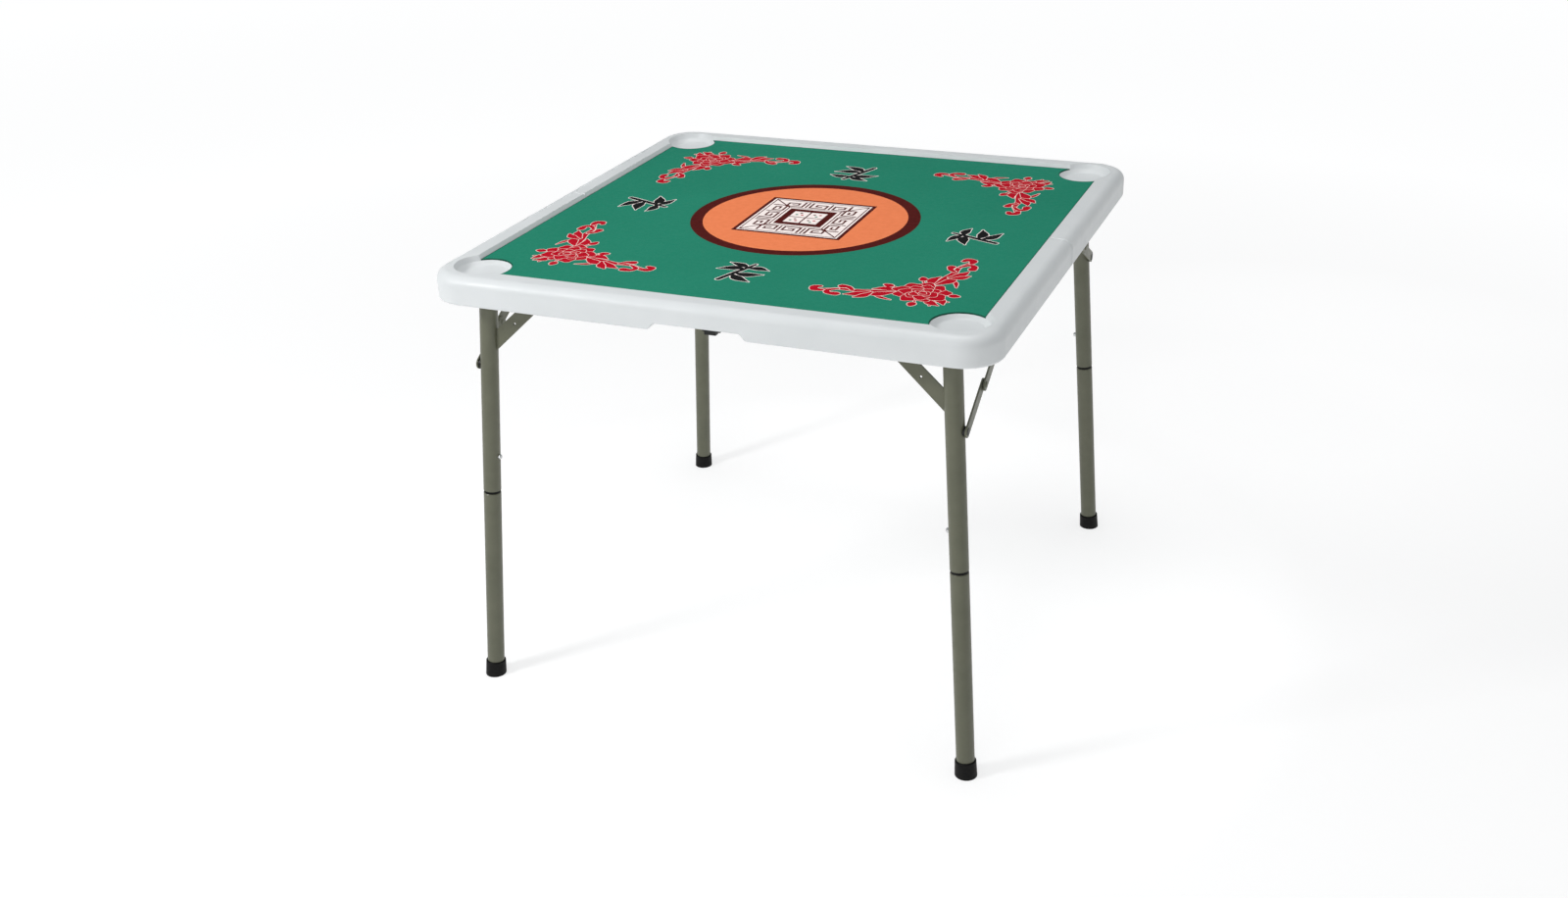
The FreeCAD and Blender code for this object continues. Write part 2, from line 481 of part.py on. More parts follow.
PIN = world_yz(d.stay_at)
ANCHOR = (-d.stay_end_y, d.bar_z)
RUN = math.hypot(ANCHOR[0] - PIN[0], ANCHOR[1] - PIN[1])
KNEE = tuple(PIN[i] + (ANCHOR[i] - PIN[i]) * d.stay_lower / RUN for i in (0, 1))
BASE = Placement()
TURN = Placement(Vector(0, 0, 0), Rotation(Vector(0, 0, 1), 180))
for n, world in (("front", BASE), ("rear", TURN)):
    end = -1 if n == "front" else 1
    plates = []
    for sx in (-1, 1):
        hand = "left" if sx * (1 if n == "front" else -1) < 0 else "right"
        leg = "%s_%s" % (n, hand)
        keep(link_bar(leg + "_low", world, PIN, KNEE, d.stay_plane, sx, d.stay_pin + d.running, None,
                      (1.0, -1.6, 0.0)), leg + "_stay_lower")
        keep(link_bar(leg + "_up", world, ANCHOR, KNEE, d.stay_plane + d.stay_thick + d.stay_gap, sx,
                      d.stay_pin + d.running, None, (1.0, d.stay_thick, d.stay_thick + 1.8)), leg + "_stay_upper")
        # bracket: foot screwed under the top, cheek with the pin for the upper link
        x_in = d.stay_plane
        cheek = doc.addObject("Part::Box", leg + "_cheek")
        cheek.Length, cheek.Width, cheek.Height = d.stay_thick, 22.0, d.panel_under - d.bar_z + 9.0
        cheek.Placement = world.multiply(Placement(Vector(sx * x_in - (d.stay_thick if sx < 0 else 0), ANCHOR[0] - 11, d.bar_z - 9.0), Rotation()))
        foot = doc.addObject("Part::Box", leg + "_cheek_foot")
        foot.Length, foot.Width, foot.Height = 26.0, 22.0, 2.5
        foot.Placement = world.multiply(Placement(Vector(sx * (x_in - 12.0) - 13.0, ANCHOR[0] - 11, d.panel_under - 2.5), Rotation()))
        pin = cyl(leg + "_anchor_pin", "Dims.stay_pin", "2 * Dims.stay_thick + Dims.stay_gap + 0.6")
        pin.Placement = world.multiply(Placement(Vector(sx * x_in, ANCHOR[0], ANCHOR[1]), Rotation(Vector(0, 0, 1), Vector(sx, 0, 0))))
        head = cyl(leg + "_anchor_head", "5", "1.5")
        head.Placement = world.multiply(Placement(Vector(sx * (x_in + 2 * d.stay_thick + d.stay_gap + 0.3), ANCHOR[0], ANCHOR[1]), Rotation(Vector(0, 0, 1), Vector(sx, 0, 0))))
        plates.append(fuse(leg + "_stay_foot", cheek, foot, pin, head))
    keep(group(n + "_stay_feet", *plates), n + "_stay_brackets")

# ------------------------------------------------------------------ carrying handle (rear half)
HX, HY, HZ = d.notch_x, d.half_depth - 12.0, d.skirt_height + 5.2
plate = box("mount_plate", "118", "20", "2", "%f - 59" % HX, "%f - 12" % HY,
            "Dims.skirt_height + Dims.notch_height - 2")
ears = []
for sx in (-1, 1):
    e = box("mount_ear_%d" % sx, "5", "12", "Dims.notch_height", "%f" % (HX + (54.0 if sx > 0 else -59.0)),
            "%f - 6" % HY, "Dims.skirt_height")
    ears.append(e)
mount_hole = cyl("mount_hole", "2.5 + Dims.running", "140")
mount_hole.Placement = Placement(Vector(HX - 70, HY, HZ), Rotation(Vector(0, 1, 0), 90))
keep(cut("mount_cut", fuse("mount_solid", plate, *ears), mount_hole), "handle_mount")

# the handle hangs from its pins: a loop with a thick rounded grip at the far end
outer = box("handle_outer", "104", "9", "73.5", "%f - 52" % HX, "%f - 4.5" % HY, "%f - 73.5" % HZ)
inner = box("handle_window", "80", "30", "52", "%f - 40" % HX, "%f - 15" % HY, "%f - 58" % HZ)
outer_low = rounded("handle_low", outer, "rim_round",
                    lambda e: e.BoundBox.YLength > 8 and mid(e).z < HZ - 50)
# the top bar is round about the pins, so it turns under the mount
top_bar = cyl("handle_bar", "4.5", "104")
top_bar.Placement = Placement(Vector(HX - 52, HY, HZ), Rotation(Vector(0, 1, 0), 90))
grip = cyl("handle_grip", "8", "78")
grip.Placement = Placement(Vector(HX - 39, HY, HZ - 66), Rotation(Vector(0, 1, 0), 90))
loop = cut("handle_loop", fuse("handle_body", outer_low, top_bar), inner)
stub = cyl("handle_pin", "2.5", "117")
stub.Placement = Placement(Vector(HX - 58.5, HY, HZ), Rotation(Vector(0, 1, 0), 90))
keep(fuse("handle_solid", loop, grip, stub), "carry_handle")

# ------------------------------------------------------------------ closing catch (front half)
CX, CY, CZ = d.notch_x + 8.0, -(d.half_depth - d.end_wall) + 9.0, d.skirt_height + 9.0
block = box("catch_block", "40", "16", "6", "%f - 20" % CX, "%f - 8" % CY, "Dims.panel_under - 6")
cheeks = [box("catch_cheek_%d" % sx, "4", "12", "Dims.panel_under - Dims.skirt_height - 3",
              "%f" % (CX + (15.0 if sx > 0 else -19.0)), "%f - 6" % CY, "Dims.skirt_height + 3") for sx in (-1, 1)]
catch_hole = cyl("catch_hole", "2 + Dims.running", "60")
catch_hole.Placement = Placement(Vector(CX - 30, CY, CZ), Rotation(Vector(0, 1, 0), 90))
keep(cut("catch_base_cut", fuse("catch_base_solid", block, *cheeks), catch_hole), "catch_base")
tongue = box("catch_tongue", "28", "5", "18", "%f - 14" % CX, "%f - 2.5" % CY, "%f - 14" % CZ)
toe = box("catch_toe", "18", "9", "6", "%f - 11" % CX, "%f - 2.5" % CY, "%f - 19" % CZ)
catch_pin = cyl("catch_pin", "2", "37")
catch_pin.Placement = Placement(Vector(CX - 18.5, CY, CZ), Rotation(Vector(0, 1, 0), 90))
keep(fuse("catch_solid", tongue, toe, catch_pin), "catch_hook")

# ------------------------------------------------------------------ check and write
doc.recompute()
for o in doc.Objects:
    if "Invalid" in o.State or "Error" in o.State:
        raise RuntimeError("%s: %s" % (o.Name, o.State))
os.makedirs("parts", exist_ok=True)
for o in FINAL:
    shape = o.Shape
    if shape.isNull() or not shape.isValid() or not shape.Solids:
        raise RuntimeError("bad shape: " + o.Label)
    shape.exportStep(os.path.join("parts", o.Label + ".step"))
    print("%-28s solids %d  volume %.1f cm3" % (o.Label, len(shape.Solids), shape.Volume / 1000.0))
print("pin", PIN, "knee", KNEE, "anchor", ANCHOR, "run", RUN)
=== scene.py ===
import json
import math

import bmesh
import bpy
from mathutils import Matrix, Vector
from mathutils.geometry import delaunay_2d_cdt


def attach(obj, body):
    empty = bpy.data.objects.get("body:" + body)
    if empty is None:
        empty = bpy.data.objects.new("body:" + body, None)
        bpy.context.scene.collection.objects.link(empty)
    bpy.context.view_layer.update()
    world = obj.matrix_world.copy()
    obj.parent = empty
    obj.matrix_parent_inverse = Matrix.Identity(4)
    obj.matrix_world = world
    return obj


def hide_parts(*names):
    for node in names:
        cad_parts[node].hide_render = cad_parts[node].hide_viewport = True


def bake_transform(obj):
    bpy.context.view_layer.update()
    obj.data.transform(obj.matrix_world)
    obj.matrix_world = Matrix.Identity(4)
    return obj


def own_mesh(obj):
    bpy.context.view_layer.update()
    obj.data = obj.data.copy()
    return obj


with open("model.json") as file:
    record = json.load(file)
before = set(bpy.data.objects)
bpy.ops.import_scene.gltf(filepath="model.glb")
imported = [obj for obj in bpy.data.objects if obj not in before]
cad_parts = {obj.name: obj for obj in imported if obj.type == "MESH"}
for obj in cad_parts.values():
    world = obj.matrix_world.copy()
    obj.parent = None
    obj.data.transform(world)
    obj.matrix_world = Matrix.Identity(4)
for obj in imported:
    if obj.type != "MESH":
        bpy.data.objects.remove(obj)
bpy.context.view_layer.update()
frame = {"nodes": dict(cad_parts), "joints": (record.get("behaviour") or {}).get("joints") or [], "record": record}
nodes = frame["nodes"]
scene = bpy.context.scene

# ------------------------------------------------------------------ camera
cam_data = bpy.data.cameras.new("camera")
cam_data.sensor_fit = "HORIZONTAL"
cam_data.sensor_width = 36.0
cam_data.lens = 1658.12 / 1600.0 * 36.0
cam_data.clip_start, cam_data.clip_end = 0.05, 200.0
cam = bpy.data.objects.new("camera", cam_data)
scene.collection.objects.link(cam)
right = Vector((0.92558647, 0.37748, -0.02825819))
up = Vector((-0.13984359, 0.41035783, 0.90113829))
back = Vector((0.35175766, -0.83012969, 0.43260982))
turn = Matrix((right, up, back)).transposed().to_4x4()
cam.matrix_world = Matrix.Translation((0.947605, -2.349677, 1.506149)) @ turn
scene.camera = cam


# ------------------------------------------------------------------ materials
def lin(r, g, b):
    """sRGB 0..255 to linear colour."""
    out = []
    for c in (r, g, b):
        c /= 255.0
        out.append(c / 12.92 if c <= 0.04045 else ((c + 0.055) / 1.055) ** 2.4)
    return (*out, 1.0)


class Mat:
    """A principled material with small helpers for procedural detail."""

    def __init__(self, name, rough=0.5, metal=0.0, spec=0.5):
        self.m = bpy.data.materials.new(name)
        self.m.use_nodes = True
        self.t = self.m.node_tree
        self.t.nodes.clear()
        self.out = self.add("ShaderNodeOutputMaterial")
        self.b = self.add("ShaderNodeBsdfPrincipled")
        self.link(self.b.outputs[0], self.out.inputs[0])
        self.b.inputs["Roughness"].default_value = rough
        self.b.inputs["Metallic"].default_value = metal
        self.b.inputs["Specular IOR Level"].default_value = spec
        self.co = self.add("ShaderNodeTexCoord").outputs["Object"]

    def add(self, kind, **props):
        n = self.t.nodes.new(kind)
        for k, v in props.items():
            setattr(n, k, v)
        return n

    def link(self, a, b):
        self.t.links.new(a, b)

    def noise(self, scale, detail=3.0, rough=0.55, distort=0.0, vec=None):
        n = self.add("ShaderNodeTexNoise")
        n.inputs["Scale"].default_value = scale
        n.inputs["Detail"].default_value = detail
        n.inputs["Roughness"].default_value = rough
        n.inputs["Distortion"].default_value = distort
        self.link(vec or self.co, n.inputs["Vector"])
        return n.outputs["Fac"]

    def voronoi(self, scale, feature="F1", vec=None):
        n = self.add("ShaderNodeTexVoronoi", feature=feature)
        n.inputs["Scale"].default_value = scale
        self.link(vec or self.co, n.inputs["Vector"])
        return n.outputs["Distance"]

    def scaled(self, sx, sy, sz):
        n = self.add("ShaderNodeMapping")
        n.inputs["Scale"].default_value = (sx, sy, sz)
        self.link(self.co, n.inputs["Vector"])
        return n.outputs[0]

    def math(self, op, a, b=None):
        n = self.add("ShaderNodeMath", operation=op)
        for i, v in enumerate((a, b)):
            if v is None:
                continue
            if isinstance(v, (int, float)):
                n.inputs[i].default_value = v
            else:
                self.link(v, n.inputs[i])
        return n.outputs[0]

    def ramp(self, fac, *stops):
        n = self.add("ShaderNodeValToRGB")
        e = n.color_ramp.elements
        while len(e) < len(stops):
            e.new(0.5)
        for el, (p, c) in zip(e, stops):
            el.position, el.color = p, c
        self.link(fac, n.inputs[0])
        return n.outputs[0]

    def span(self, fac, lo, hi, f0=0.0, f1=1.0):
        n = self.add("ShaderNodeMapRange")
        n.inputs["From Min"].default_value, n.inputs["From Max"].default_value = f0, f1
        n.inputs["To Min"].default_value, n.inputs["To Max"].default_value = lo, hi
        self.link(fac, n.inputs["Value"])
        return n.outputs[0]

    def mix(self, fac, a, b, blend="MIX"):
        n = self.add("ShaderNodeMix", data_type="RGBA", blend_type=blend)
        for sock, v in ((n.inputs["Factor"], fac), (n.inputs[6], a), (n.inputs[7], b)):
            if isinstance(v, (int, float, tuple)):
                sock.default_value = v
            else:
                self.link(v, sock)
        return n.outputs[2]

    def colour(self, c):
        if isinstance(c, tuple):
            self.b.inputs["Base Color"].default_value = c
        else:
            self.link(c, self.b.inputs["Base Color"])

    def rough(self, r):
        self.link(r, self.b.inputs["Roughness"])

    def bump(self, height, strength=0.2, distance=0.0005, under=None):
        n = self.add("ShaderNodeBump")
        n.inputs["Strength"].default_value = strength
        n.inputs["Distance"].default_value = distance
        self.link(height, n.inputs["Height"])
        if under is not None:
            self.link(under, n.inputs["Normal"])
        self.link(n.outputs[0], self.b.inputs["Normal"])
        return n.outputs[0]

    def bevel(self, radius, samples=4):
        n = self.add("ShaderNodeBevel", samples=samples)
        n.inputs["Radius"].default_value = radius
        return n.outputs[0]


def white_plastic():
    m = Mat("moulded_white_plastic", rough=0.42, spec=0.42)
    cloud = m.noise(7.0, 4.0, 0.6)
    m.colour(m.ramp(cloud, (0.30, lin(206, 210, 211)), (0.72, lin(213, 216, 217))))
    m.rough(m.span(m.noise(55.0, 4.0), 0.36, 0.50, 0.3, 0.7))
    soft = m.bevel(0.0014)
    grain = m.math("ADD", m.voronoi(820.0), m.math("MULTIPLY", m.noise(1500.0, 3.0, 0.6), 0.8))
    fine = m.bump(grain, 0.16, 0.0003, soft)
    wave = m.noise(16.0, 2.0, 0.5)
    m.bump(wave, 0.05, 0.004, fine)
    return m.m


def leg_coat():
    m = Mat("taupe_powder_coat", rough=0.40, spec=0.5)
    base = m.ramp(m.noise(24.0, 5.0, 0.6), (0.32, lin(86, 88, 70)), (0.70, lin(95, 96, 78)))
    speck = m.ramp(m.noise(1900.0, 2.0, 0.5), (0.60, (0, 0, 0, 1)), (0.78, (1, 1, 1, 1)))
    m.colour(m.mix(m.math("MULTIPLY", speck, 0.18), base, lin(120, 120, 103)))
    m.rough(m.span(m.noise(90.0, 4.0), 0.34, 0.47, 0.3, 0.7))
    peel = m.math("ADD", m.noise(700.0, 3.0, 0.55), m.math("MULTIPLY", m.noise(2400.0, 2.0), 0.4))
    m.bump(peel, 0.10, 0.0003, m.bevel(0.0007))
    return m.m


def black_rubber():
    m = Mat("black_rubber", rough=0.50, spec=0.15)
    m.colour(m.ramp(m.noise(60.0, 5.0, 0.6), (0.35, lin(9, 9, 8)), (0.75, lin(18, 18, 17))))
    m.rough(m.span(m.noise(220.0, 3.0), 0.46, 0.66, 0.3, 0.7))
    m.bump(m.noise(1300.0, 3.0, 0.6), 0.22, 0.0003, m.bevel(0.0010))
    return m.m


def black_plastic():
    m = Mat("black_moulded_plastic", rough=0.40, spec=0.32)
    m.colour(m.ramp(m.noise(45.0, 4.0, 0.6), (0.35, lin(12, 13, 13)), (0.75, lin(22, 23, 23))))
    m.rough(m.span(m.noise(160.0, 3.0), 0.34, 0.52, 0.3, 0.7))
    m.bump(m.voronoi(900.0), 0.14, 0.0003, m.bevel(0.0010))
    return m.m


def plated_steel():
    m = Mat("zinc_plated_steel", rough=0.28, metal=1.0)
    m.colour(m.ramp(m.noise(180.0, 4.0, 0.6), (0.3, lin(176, 178, 180)), (0.75, lin(214, 215, 214))))
    m.rough(m.span(m.noise(420.0, 3.0), 0.20, 0.40, 0.3, 0.7))
    m.bump(m.noise(900.0, 3.0, 0.5, 0.0, m.scaled(1.0, 1.0, 9.0)), 0.08, 0.0002, m.bevel(0.0006))
    return m.m


def printed(name, lo, hi, rough=0.66):
    """Ink on the mat, and the dark edge band that paints shade at the lip: the same cloth face under a slightly
    uneven colour.
    """
    m = Mat(name, rough=rough, spec=0.04)
    m.colour(m.ramp(m.noise(95.0, 5.0, 0.62), (0.32, lo), (0.70, hi)))
    m.rough(m.span(m.noise(300.0, 3.0), rough - 0.06, rough + 0.08, 0.3, 0.7))
    m.bump(weave(m), 0.20, 0.0002)
    return m.m


def weave(m):
    """Fine plain weave in the plane of the mat."""
    flat = m.scaled(1.0, 1.0, 0.0)
    sep = m.add("ShaderNodeSeparateXYZ")
    m.link(flat, sep.inputs[0])
    a = m.math("SINE", m.math("MULTIPLY", sep.outputs[0], 7800.0))
    b = m.math("SINE", m.math("MULTIPLY", sep.outputs[1], 7800.0))
    return m.math("ADD", m.math("MULTIPLY", m.math("MULTIPLY", a, b), 0.5), m.noise(900.0, 3.0, 0.6))


def green_cloth():
    m = Mat("green_mat_cloth", rough=0.70, spec=0.04)
    slow = m.ramp(m.noise(3.2, 3.0, 0.55), (0.30, lin(31, 122, 98)), (0.72, lin(37, 131, 106)))
    fine = m.ramp(m.noise(420.0, 4.0, 0.65), (0.30, lin(25, 109, 85)), (0.72, lin(44, 142, 116)))
    m.colour(m.mix(0.30, slow, fine))
    m.rough(m.span(m.noise(140.0, 4.0), 0.58, 0.74, 0.3, 0.7))
    m.bump(weave(m), 0.24, 0.0002)
    return m.m


M_WHITE, M_COAT, M_RUBBER = white_plastic(), leg_coat(), black_rubber()
M_BLACK, M_STEEL, M_GREEN = black_plastic(), plated_steel(), green_cloth()
# dark edge band of the mat: the mat's darker cut edge, plus painted shade of the gap at the lip and round the cups
M_EDGE_SHADE = printed("mat_edge_painted_shade", lin(22, 76, 61), lin(28, 88, 71))
M_RED = printed("print_red", lin(170, 4, 27), lin(190, 10, 37))
M_PALE = printed("print_pale", lin(241, 229, 225), lin(250, 239, 235))
M_MAROON = printed("print_maroon", lin(72, 17, 15), lin(85, 23, 20))
M_BLUSH = printed("print_blush", lin(238, 208, 200), lin(248, 224, 216))
M_ORANGE = printed("print_orange", lin(229, 126, 81), lin(237, 134, 88))
M_INK = printed("print_black", lin(16, 17, 18), lin(28, 29, 30))

SLOT = {"white_plastic": M_WHITE, "leg_coat": M_COAT, "black_rubber": M_RUBBER,
        "black_plastic": M_BLACK, "plated_steel": M_STEEL, "green_mat": M_GREEN}
for part in frame["record"]["subparts"]:
    o = nodes[part["node"]]
    o.data.materials.clear()
    o.data.materials.append(SLOT[part["material_slot"]])


# ------------------------------------------------------------------ playing mat
MAT_TOP, MAT_LOW = 0.704, 0.702
MAT_HALF, CUP_X, CUP_Y, CUP_R = 0.3989, 0.373, 0.371, 0.0416


def mat_outline(inset=0.0):
    half, r = MAT_HALF - inset, CUP_R + inset
    ax = math.atan2(-math.sqrt(r * r - (half - CUP_X) ** 2), half - CUP_X)
    bx = math.atan2(half - CUP_Y, -math.sqrt(r * r - (half - CUP_Y) ** 2)) - 2 * math.pi
    arc = [ax + (bx - ax) * i / 40 for i in range(41)]
    corner = [(CUP_X + r * math.cos(a), CUP_Y + r * math.sin(a)) for a in arc]
    ring = []
    ring += corner
    ring += [(-x, y) for x, y in reversed(corner)]
    ring += [(-x, -y) for x, y in corner]
    ring += [(x, -y) for x, y in reversed(corner)]
    return ring


def slice_fold(bm, reach=0.045, count=18):
    """Cut a flat mesh into strips across the fold line."""
    for i in range(count + 1):
        y = -reach + 2 * reach * i / count
        geom = bm.verts[:] + bm.edges[:] + bm.faces[:]
        bmesh.ops.bisect_plane(bm, geom=geom, dist=1e-7, plane_co=(0, y, 0), plane_no=(0, 1, 0))


def link_mesh(name, bm, *mats):
    me = bpy.data.meshes.new(name)
    bm.to_mesh(me)
    bm.free()
    o = bpy.data.objects.new(name, me)
    scene.collection.objects.link(o)
    for m in mats:
        me.materials.append(m)
    return o


# ------------------------------------------------------------------ mat print
GREEN, PALE, RED, MAROON, ORANGE, INK, EDGE_SHADE, BLUSH = range(8)
MAT_MATS = (M_GREEN, M_PALE, M_RED, M_MAROON, M_ORANGE, M_INK, M_EDGE_SHADE, M_BLUSH)


class Print:
    """Flat shapes in millimetres on the mat. Each has a level, and where shapes overlap the highest one shows."""

    def __init__(self):
        self.shapes = []
        self.plain()

    def plain(self):
        self.place = lambda x, y: (x, y)

    def face(self, pts, level, mat):
        pts = [self.place(x, y) for x, y in pts]
        area = sum(a[0] * b[1] - b[0] * a[1] for a, b in zip(pts, pts[1:] + pts[:1]))
        if abs(area) < 0.02:
            return
        if area < 0:
            pts.reverse()
        self.shapes.append((level, mat, pts))

    def ring(self, r, cx, cy, level, mat, n=160):
        self.face([(cx + r * math.cos(2 * math.pi * i / n), cy + r * math.sin(2 * math.pi * i / n)) for i in range(n)], level, mat)

    def line(self, pts, width, level, mat):
        """Straight runs with square ends, so that corners close."""
        for (x0, y0), (x1, y1) in zip(pts, pts[1:]):
            d = math.hypot(x1 - x0, y1 - y0)
            ux, uy = (x1 - x0) / d, (y1 - y0) / d
            h = width / 2
            x0, y0, x1, y1 = x0 - ux * h, y0 - uy * h, x1 + ux * h, y1 + uy * h
            self.face([(x0 - uy * h, y0 + ux * h), (x1 - uy * h, y1 + ux * h),
                       (x1 + uy * h, y1 - ux * h), (x0 + uy * h, y0 - ux * h)], level, mat)

    def curve(self, pts, widths, grow, level, mat, n=5):
        """A brush stroke through the points, with a width at each of them."""
        line, wide = [], []
        ext = [pts[0]] + list(pts) + [pts[-1]]
        for i in range(len(pts) - 1):
            p0, p1, p2, p3 = ext[i:i + 4]
            for k in range(n + (i == len(pts) - 2)):
                t = k / n
                line.append(tuple(
                    0.5 * (2 * p1[j] + (p2[j] - p0[j]) * t + (2 * p0[j] - 5 * p1[j] + 4 * p2[j] - p3[j]) * t * t
                           + (3 * p1[j] - p0[j] - 3 * p2[j] + p3[j]) * t ** 3) for j in (0, 1)))
                s = t * t * (3 - 2 * t)
                wide.append(widths[i] * (1 - s) + widths[i + 1] * s)
        left, right_ = [], []
        for i, (x, y) in enumerate(line):
            a, b = line[max(0, i - 1)], line[min(len(line) - 1, i + 1)]
            d = math.hypot(b[0] - a[0], b[1] - a[1]) or 1.0
            nx, ny, h = -(b[1] - a[1]) / d, (b[0] - a[0]) / d, wide[i] / 2 + grow
            left.append((x + nx * h, y + ny * h))
            right_.append((x - nx * h, y - ny * h))
        for i in range(len(line) - 1):
            self.face([left[i], left[i + 1], right_[i + 1]], level, mat)
            self.face([left[i], right_[i + 1], right_[i]], level, mat)
        for end, h in ((line[0], wide[0] / 2 + grow), (line[-1], wide[-1] / 2 + grow)):
            self.ring(h, end[0], end[1], level, mat, 12)


pr = Print()

# round field in the middle: broad dark ring, orange disc
MX, MY = 1.6, 1.6
pr.ring(186.5, MX, MY, 1, MAROON, 200)
pr.ring(166.3, MX, MY, 2, ORANGE, 200)


# square panel: dark border, pale band with a running fret, window of four panes
def square(h, level, mat):
    pr.face([(MX - h, MY - h), (MX + h, MY - h), (MX + h, MY + h), (MX - h, MY + h)], level, mat)


square(91.5, 3, MAROON)
square(85.3, 4, PALE)
square(40.6, 6, MAROON)
square(28.4, 7, PALE)
pr.line([(MX, MY - 27), (MX, MY + 27)], 2.6, 8, MAROON)
pr.line([(MX - 27, MY), (MX + 27, MY)], 2.6, 8, MAROON)
for sx in (-1, 1):
    for sy in (-1, 1):
        cx, cy = MX + sx * 14.8, MY + sy * 14.8
        for k, ink in enumerate((RED, MAROON, GREEN)):
            a = 2 * math.pi * k / 3 + 0.6 * sx
            pr.ring(2.5, cx + 5.6 * math.cos(a), cy + 5.6 * math.sin(a), 8, ink, 14)

KEY = [(0, 0), (0, 24), (27, 24), (27, 7), (9, 7), (9, 15.5), (18, 15.5)]
for quarter in range(4):
    ca, sa = [(1, 0), (0, 1), (-1, 0), (0, -1)][quarter]
    pr.place = lambda x, y, ca=ca, sa=sa: (MX + x * ca - y * sa, MY + x * sa + y * ca)
    # thin rules that frame the band, and the mitre at its corner
    pr.line([(-81.2, -81.2), (81.2, -81.2)], 2.1, 5, MAROON)
    pr.line([(-45.6, -45.6), (45.6, -45.6)], 2.1, 5, MAROON)
    pr.line([(-81.2, -81.2), (-45.6, -45.6)], 2.6, 5, MAROON)
    for k in range(3):
        x0 = -54.0 + 40.5 * k
        path = [(x0 + (x if k % 2 == 0 else 27 - x), -75.6 + y) for x, y in KEY]
        pr.line(path, 3.6, 5, MAROON)
    for k in range(2):
        x0 = -54.0 + 40.5 * k + 33.75
        pr.line([(x0, -75.6), (x0, -51.6)], 3.0, 5, MAROON)
pr.plain()


# flower scrolls in the corners: bloom, leaves and two curling arms, mirrored about the diagonal
class Scroll:
    RIM, HAIR = 1.05, 0.78

    def __init__(self, sx, sy):
        self.sx, self.sy = sx, sy

    def shape(self, draw, level):
        """Each shape has a pale edge on all that lies under it, then its red."""
        draw(self.RIM if level < 4 else self.HAIR, 2 * level, BLUSH)
        draw(0.0, 2 * level + 1, RED)

    def stroke(self, pts, widths, level):
        self.shape(lambda g, lv, m: pr.curve(pts, widths, g, lv, m), level)

    def petal(self, x, y, ang, length, width, lobes, level, depth=0.10):
        def draw(g, lv, m):
            ca, sa = math.cos(ang), math.sin(ang)
            out = []
            for i in range(36):
                t = 2 * math.pi * i / 36
                wob = 1.0 + depth * math.cos(lobes * t) * (0.5 + 0.5 * math.cos(t))
                px, py = (length * wob + g) * math.cos(t), (width * wob + g) * math.sin(t)
                out.append((x + px * ca - py * sa, y + px * sa + py * ca))
            pr.face(out, lv, m)
        self.shape(draw, level)

    def build(self):
        sx, sy = self.sx, self.sy
        off = 5.0 if sx < 0 and sy < 0 else 0.0
        pr.place = lambda x, y: (sx * (286.0 + x) + off, sy * (272.0 - y))
        for arm in (0, 1):
            A = (lambda p, q: (-p, q)) if arm == 0 else (lambda p, q: (-q, p))

            def st(pts, widths, level):
                self.stroke([A(*p) for p in pts], widths, level)

            def pt(p, q, dp, dq, length, width, lobes, level, depth=0.10):
                x, y = A(p, q)
                dx, dy = A(dp, dq)
                self.petal(x, y, math.atan2(dy, dx), length, width, lobes, level, depth)

            # main stem, its two curls and the knob at the end
            st([(26, -3), (46, -12), (66, -16), (88, -21), (104, -21)], [9.5, 11.0, 11.0, 10.0, 8.0], 1)
            st([(102, -21), (118, -22), (132, -28), (142, -33)], [8.0, 6.6, 6.4, 8.5], 1)
            st([(139, -34), (150, -33), (153, -24.5), (146, -20)], [8.0, 12.5, 12.0, 8.0], 2)
            st([(118, -22), (130, -32), (126, -41.5), (114, -42)], [5.0, 8.0, 9.5, 13.0], 2)
            st([(97, -20), (105, -11.5), (115, -10)], [6.0, 8.0, 13.0], 2)
            # leaves along the arm
            st([(71, -19), (86, -33), (102, -40)], [4.0, 14.5, 3.0], 2)
            st([(67, -21), (74, -37), (85, -47)], [4.0, 13.5, 3.0], 3)
            st([(37, -12), (56, -25), (74, -28)], [5.0, 16.5, 3.2], 2)
            st([(32, -5), (52, 0), (69, -7)], [5.0, 14.5, 3.2], 2)
            st([(62, -27), (50, -36), (32, -42)], [4.4, 7.0, 1.8], 1)
            # bud on the inner side
            st([(28, 3), (40, 9), (48, 12)], [2.6, 2.8, 3.2], 1)
            pt(53, 13.5, 1, 0.4, 8.2, 6.2, 3, 2)
            # bud and leaves towards the outer corner
            st([(-18, -14), (-31, -24), (-48, -27)], [4.0, 15.5, 3.0], 1)
            st([(-12, -20), (-24, -36), (-38, -44)], [4.0, 14.5, 3.0], 2)
            st([(-30, -1), (-38, -2), (-44, -2)], [2.8, 2.8, 3.2], 1)
            pt(-49, -1.5, -1, 0, 8.0, 6.4, 3, 2)
        # bloom: petals stacked from the rim to the heart
        level = 4
        for count, rad, length, width, lobes, twist in ((9, 28.0, 13.8, 12.6, 4, 0.20), (7, 17.5, 12.0, 10.6, 4, 0.52), (4, 8.0, 9.6, 8.6, 3, 0.95)):
            for i in range(count):
                a = 2 * math.pi * i / count + twist
                wob = 1.0 + 0.08 * math.sin(3.1 * i + rad)
                self.petal(rad * wob * math.cos(a), rad * 0.92 * wob * math.sin(a), a + 0.3 * math.sin(2.0 * i),
                           length * wob, width * (1.0 + 0.07 * math.cos(2.3 * i)), lobes, level)
                level += 1
        self.petal(-3.4, 1.0, 2.6, 6.2, 5.2, 3, level)
        self.petal(3.2, -2.0, -0.6, 5.8, 5.0, 3, level + 1)
        pr.plain()


for sx in (-1, 1):
    for sy in (-1, 1):
        Scroll(sx, sy).build()


